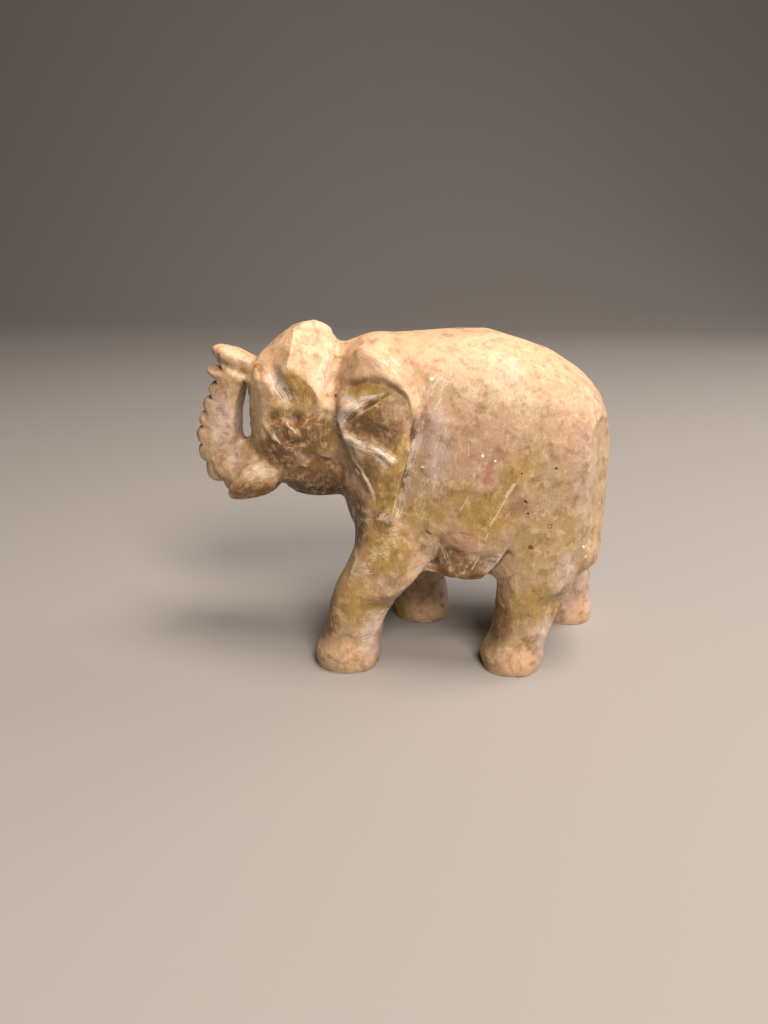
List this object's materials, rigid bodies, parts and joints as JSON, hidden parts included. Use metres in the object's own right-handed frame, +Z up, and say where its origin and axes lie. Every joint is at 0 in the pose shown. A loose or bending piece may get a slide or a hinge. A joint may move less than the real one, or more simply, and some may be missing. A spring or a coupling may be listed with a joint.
{
  "type": "stone elephant figurine",
  "caption": "Hand-carved soapstone elephant in mid stride, its knobbed trunk curled up to touch the forehead, short tusks, shield-shaped ears in relief, flat soles.",
  "frame": {"origin": "centre of the figure's bounding box in plan, on the floor that its soles stand on", "axes": "-X is the way the elephant faces and walks, +X its rump, -Y its left side, +Z up"},
  "size_m": [0.066, 0.0272, 0.0524],
  "materials": {
    "soapstone": "hand filed and waxed, soft sheen"
  },
  "bodies": {
    "root": {"elephant": "soapstone"}
  },
  "joints": []
}
